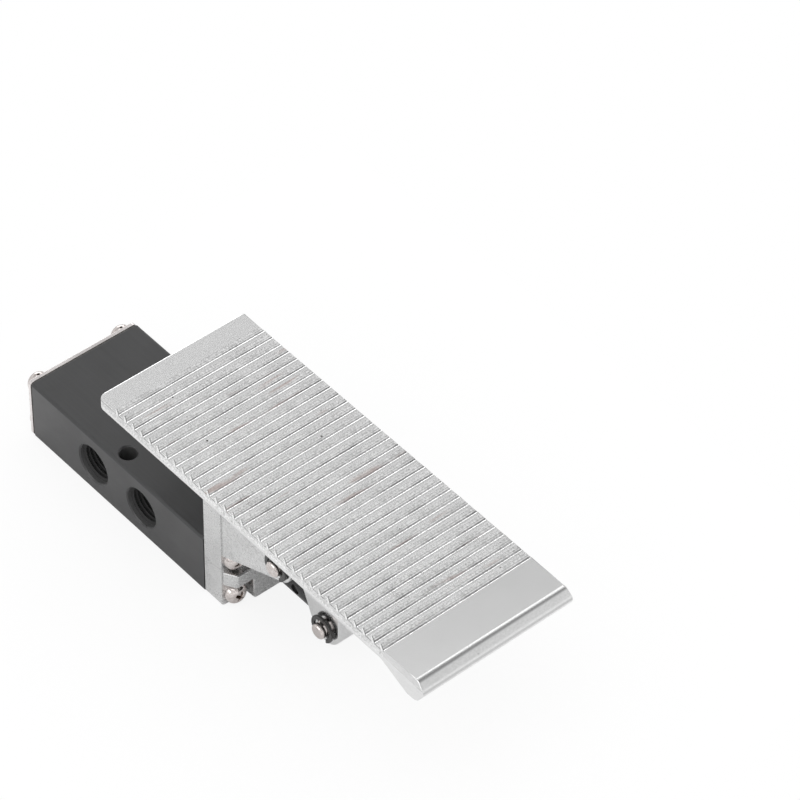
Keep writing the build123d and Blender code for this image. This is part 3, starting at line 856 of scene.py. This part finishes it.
threads = bmesh.new()
for x, side in ports:
    mouth = side * (block_half_width - thread_start)
    ridge = [
        threads.verts.new((x + radius * mm, mouth + side * along * mm, bore_height))
        for radius, along in thread_profile
    ]
    lines = [threads.edges.new(pair) for pair in zip(ridge, ridge[1:])]
    bmesh.ops.spin(
        threads,
        geom=ridge + lines,
        cent=(x, 0, bore_height),
        axis=(0, side, 0),
        dvec=(0, -side * thread_pitch / thread_steps, 0),
        angle=2 * math.pi * thread_turns,
        steps=int(thread_steps * thread_turns),
        use_merge=False,
    )
bmesh.ops.recalc_face_normals(threads, faces=threads.faces)
finish_piece("port_threads", threads, body_with("valve_body"), thread_black)

# %% [markdown]
# ## Rear end plate
# A press pushes the slot outwards, so sheet metal bends over every edge of it and none is sharp.

# %% Rear end plate
plate_back = -42.45 * mm
emboss_height = 0.5 * mm
emboss_back = plate_back - emboss_height


def is_plate_edge(edge):
    """Outline of the plate's outer face, and the edge of the pressed slot."""
    outline = lies_at(edge, 0, plate_back) and is_near_outline(edge, 1.6 * mm)
    return turn_at(edge) > 40 and (outline or lies_at(edge, 0, emboss_back))


def is_emboss_foot(edge):
    """Hollow corner where the pressed slot leaves the plate."""
    return turn_at(edge) < -40 and lies_at(edge, 0, plate_back)


worked_copy(
    "pressed_plate",
    "rear_end_plate",
    [(0.16 * mm, 3, is_plate_edge), (0.22 * mm, 3, is_emboss_foot)],
    plated_sheet,
)

# %% [markdown]
# ## Screws
# A pan head is a dome that a cross has been punched into. The dome is turned from a profile, then
# every point of it is pushed down by the depth of the cross at that place, so the walls of the
# cross slope a little, as the punch leaves them. Each head stands at its own angle.

# %% Screws
head_radius = 3.5 * mm
head_height = 2.45 * mm
dome_power = 2.6
dome_fullness = 0.55
shank_radius = 1.95 * mm
tip_length = 0.5 * mm
head_rings = 40
ring_crowding = 1.4
head_steps = 80
cross_reach = 1.95 * mm
cross_half_width = 0.46 * mm
cross_wall = 0.17 * mm
cross_depth = 1.35 * mm
shade_spread = 1.3


def soft_step(value):
    """Smooth rise from 0 to 1."""
    value = min(max(value, 0.0), 1.0)
    return value * value * (3 - 2 * value)


def dome_height(radius):
    """Height of the plain head at a radius."""
    return head_height * (1 - (radius / head_radius) ** dome_power) ** dome_fullness


def arm_depth(across, along):
    """Depth of one pair of the cross's arms."""
    side = soft_step((cross_half_width - abs(across)) / cross_wall + 0.5)
    end = soft_step((cross_reach - abs(along)) / (0.75 * cross_reach))
    return cross_depth * side * end


def turned_screw(shape, length, place, sunk_layer):
    """Adds one screw, turned about Z with its seat at zero, and puts it in its place."""
    others = set(shape.verts)
    shares = [ring / head_rings for ring in range(head_rings + 1)]
    radii = [head_radius * (1 - (1 - share) ** ring_crowding) for share in shares]
    profile = [(radius, dome_height(radius)) for radius in radii]
    profile += [(shank_radius, 0.0), (shank_radius, tip_length - length)]
    profile += [(0.7 * shank_radius, -length), (0.0, -length)]
    line = [shape.verts.new((radius, 0, level)) for radius, level in profile]
    edges = [shape.edges.new(pair) for pair in zip(line, line[1:])]
    bmesh.ops.spin(
        shape,
        geom=line + edges,
        cent=(0, 0, 0),
        axis=(0, 0, 1),
        angle=2 * math.pi,
        steps=head_steps,
        use_merge=True,
    )
    screw = [vert for vert in shape.verts if vert not in others]
    bmesh.ops.remove_doubles(shape, verts=screw, dist=merge_gap)
    screw = [vert for vert in shape.verts if vert not in others]
    for vert in screw:
        if vert.co.z > 0.2 * mm:
            sink = max(arm_depth(vert.co.x, vert.co.y), arm_depth(vert.co.y, vert.co.x))
            vert.co.z -= sink
            # How far a point was pushed down sets how much painted shade it gets.
            vert[sunk_layer] = min(1.0, shade_spread * sink / cross_depth)
    bmesh.ops.transform(shape, matrix=place, verts=screw)


def screw_set(name, node, way, seat, length, angles):
    """Four screws that stand for one CAD node; their heads point along way."""
    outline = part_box(node)
    side = outline[1].y - head_radius
    low = outline[0].z + head_radius
    high = outline[1].z - head_radius
    shape = bmesh.new()
    sunk_layer = shape.verts.layers.float.new("sunk")
    spots = [(y, z) for y in (-side, side) for z in (low, high)]
    for (y, z), angle in zip(spots, angles):
        lean = Matrix.Rotation(way * math.pi / 2, 4, "Y")
        spin = Matrix.Rotation(math.radians(angle), 4, "Z")
        turned_screw(shape, length, Matrix.Translation((seat, y, z)) @ lean @ spin, sunk_layer)
    bmesh.ops.recalc_face_normals(shape, faces=shape.faces)
    finish_piece(name, shape, body_with(node), screw_steel, [node])


screw_set("rear_screws", "rear_end_screws", -1, -43.45 * mm, 12 * mm, (20, -38, 64, 8))
screw_set("front_screws", "bracket_screws", 1, 49.75 * mm, 20 * mm, (58, 22, -12, 40))

# %% [markdown]
# ## Washers, pins, clips, link and spool
# These are small turned or stamped pieces. Their edges are only just broken, by a tenth of a
# millimetre or two, but that is what separates a stamped clip from a drawn line at this size.

# %% Small pieces
fork_start = 53 * mm


def is_sharp(edge):
    """Any edge that stands out sharply."""
    return turn_at(edge) > 40


def is_fork_edge(edge):
    """Sharp edge of the spool's forked end, outside the boss."""
    return is_sharp(edge) and middle_of(edge).x > fork_start


for name, node, radius, segments, chosen in (
    ("rear_washers", "rear_spring_washers", 0.1 * mm, 2, is_sharp),
    ("front_washers", "bracket_spring_washers", 0.1 * mm, 2, is_sharp),
    ("upper_pin", "pivot_pin", 0.08 * mm, 2, is_sharp),
    ("lower_pin", "link_pin", 0.08 * mm, 2, is_sharp),
    ("upper_clip", "pivot_pin_clip", 0.1 * mm, 2, is_sharp),
    ("lower_clip", "link_pin_clip", 0.1 * mm, 2, is_sharp),
    ("link", "link_plate", 0.25 * mm, 3, is_sharp),
    ("forked_spool", "spool", 0.2 * mm, 3, is_fork_edge),
):
    worked_copy(name, node, [(radius, segments, chosen)])

# %% [markdown]
# ## Floor, backdrop, light and camera
# The product stands on a pale floor in plain soft light. The floor is white to the camera and to
# reflections, but keeps a share of its lit surface, so that the shadow stays. From below it lets the
# camera through, and very short rays pass it too, so that the face that rests on it isn't black.
# Polished metal shows whatever is round it, so only the light that metal mirrors comes from a sky
# whose brightness changes with height, as in a room with a ceiling, walls and a bright window band.

# %% Floor
floor_size = 0.27
floor_middle = 0.05
floor_gap = 0.02 * mm
touch_reach = 0.2 * mm
backdrop_share = 0.86

floor_shape = bmesh.new()
bmesh.ops.create_grid(floor_shape, x_segments=1, y_segments=1, size=floor_size / 2)
floor_place = (floor_middle, 0, cad_box[0].z - floor_gap)
bmesh.ops.translate(floor_shape, verts=floor_shape.verts, vec=floor_place)
floor_mesh = bpy.data.meshes.new("floor")
floor_shape.to_mesh(floor_mesh)
floor_shape.free()
floor = bpy.data.objects.new("floor", floor_mesh)
bpy.context.scene.collection.objects.link(floor)

# %% Floor material
floor_material = bpy.data.materials.new("Pale floor")
floor_material.use_nodes = True
floor_tree = floor_material.node_tree
floor_tree.nodes.clear()
floor_out = add_node(floor_tree, "ShaderNodeOutputMaterial")
paper = set_inputs(add_node(floor_tree, "ShaderNodeBsdfDiffuse"), Color=(0.92, 0.92, 0.92, 1))
white = set_inputs(add_node(floor_tree, "ShaderNodeEmission"), Color=(1, 1, 1, 1), Strength=1.0)
clear = add_node(floor_tree, "ShaderNodeBsdfTransparent")
rays = add_node(floor_tree, "ShaderNodeLightPath").outputs
facing = add_node(floor_tree, "ShaderNodeNewGeometry").outputs
seen = calculate(floor_tree, "MAXIMUM", rays["Is Camera Ray"], rays["Is Transmission Ray"])
from_below = product(floor_tree, facing["Backfacing"], rays["Is Camera Ray"])
touching = calculate(floor_tree, "LESS_THAN", rays["Ray Length"], touch_reach)
passed = calculate(floor_tree, "MAXIMUM", from_below, touching)


def mix_shaders(tree, factor, first, second):
    """Two shaders mixed by a factor."""
    node = add_node(tree, "ShaderNodeMixShader")
    for socket, source in zip(node.inputs, (factor, first, second)):
        tree.links.new(source, socket)
    return node.outputs[0]


whitened = mix_shaders(
    floor_tree, product(floor_tree, seen, backdrop_share), paper.outputs[0], white.outputs[0]
)
floor_surface = mix_shaders(floor_tree, passed, whitened, clear.outputs[0])
floor_tree.links.new(floor_surface, floor_out.inputs["Surface"])
floor_mesh.materials.append(floor_material)
print("floor:", len(floor_tree.nodes), "nodes")

# %% World
sky_peak = 2.0
side_blend = (-0.16, 0.1)
left_levels = [
    (0.0, 0.72), (0.1, 1.0), (0.58, 0.85), (0.7, 0.56),
    (0.765, 0.30), (0.795, 1.9), (0.865, 1.9), (0.885, 0.2),
]
right_levels = [
    (0.0, 0.72), (0.1, 1.0), (0.6, 0.9), (0.72, 0.82),
    (0.79, 0.56), (0.85, 0.3), (0.88, 0.22),
]


def height_ramp(tree, height, levels):
    """Brightness of the sky by height, as a share of its peak."""
    return grey_ramp(tree, height, [(place, level / sky_peak) for place, level in levels])


world = bpy.data.worlds.new("Studio")
bpy.context.scene.world = world
world.use_nodes = True
sky = world.node_tree
sky.nodes.clear()
sky_out = add_node(sky, "ShaderNodeOutputWorld")
is_glossy = add_node(sky, "ShaderNodeLightPath").outputs["Is Glossy Ray"]
looking_x, _, looking_z = split_place(sky, add_node(sky, "ShaderNodeTexCoord").outputs["Generated"])
left_sky = height_ramp(sky, looking_z, left_levels)
right_sky = height_ramp(sky, looking_z, right_levels)
turned_right = blend_range(sky, looking_x, *side_blend)
room_light = set_inputs(add_node(sky, "ShaderNodeBackground"), Color=(1, 1, 1, 1), Strength=1.0)
backdrop = set_inputs(add_node(sky, "ShaderNodeBackground"), Strength=sky_peak)
sky.links.new(mix_colours(sky, turned_right, left_sky, right_sky), backdrop.inputs["Color"])
sky_light = mix_shaders(sky, is_glossy, room_light.outputs[0], backdrop.outputs[0])
sky.links.new(sky_light, sky_out.inputs["Surface"])
print("sky:", len(sky.nodes), "nodes")

# %% Lamps
middle = Vector((0.05, 0.0, 0.03))


def softbox(name, way, distance, width, height, radiance, lights_floor=False):
    """Rectangular soft lamp that looks at the valve from a direction; the camera doesn't see it."""
    lamp = bpy.data.lights.new(name, "AREA")
    lamp.shape = "RECTANGLE"
    lamp.size = width
    lamp.size_y = height
    lamp.energy = radiance * width * height * math.pi
    holder = bpy.data.objects.new(name, lamp)
    holder.location = middle + Vector(way).normalized() * distance
    holder.rotation_euler = (middle - holder.location).to_track_quat("-Z", "Y").to_euler()
    holder.visible_camera = False
    holder.visible_diffuse = lights_floor
    bpy.context.scene.collection.objects.link(holder)
    print(name, "gives", round(lamp.energy, 2), "W")


softbox("overhead_box", (0.2, -0.35, 1.07), 1.2, 0.8, 0.8, 1.2, lights_floor=True)
softbox("back_left_box", (-0.86, 0.46, 0.25), 1.1, 0.62, 0.38, 1.8)
softbox("near_box", (-0.15, -0.86, 0.42), 1.1, 0.8, 0.35, 1.7)

# %% Camera
camera_place = Vector((0.71145, -0.5332, 0.9302))
camera_azimuth = math.radians(48.79)
camera_elevation = math.radians(45.25)
camera_roll = math.radians(-0.98)
lens_length = 194.27

backward = Vector((
    math.sin(camera_azimuth) * math.cos(camera_elevation),
    -math.cos(camera_azimuth) * math.cos(camera_elevation),
    math.sin(camera_elevation),
))
level_right = Vector((0, 0, 1)).cross(backward).normalized()
level_up = backward.cross(level_right)
right = level_right * math.cos(camera_roll) - level_up * math.sin(camera_roll)
up = backward.cross(right)
camera_data = bpy.data.cameras.new("camera")
camera_data.lens = lens_length
camera_data.sensor_width = 36.0
camera_data.clip_start = 0.05
camera_data.clip_end = 20.0
camera = bpy.data.objects.new("camera", camera_data)
turned = Matrix((right, up, backward)).transposed().to_4x4()
camera.matrix_world = Matrix.Translation(camera_place) @ turned
bpy.context.scene.collection.objects.link(camera)
bpy.context.scene.camera = camera
bpy.context.scene.view_settings.view_transform = "Standard"
print("camera:", round(camera_place.length, 3), "m from the block's middle")
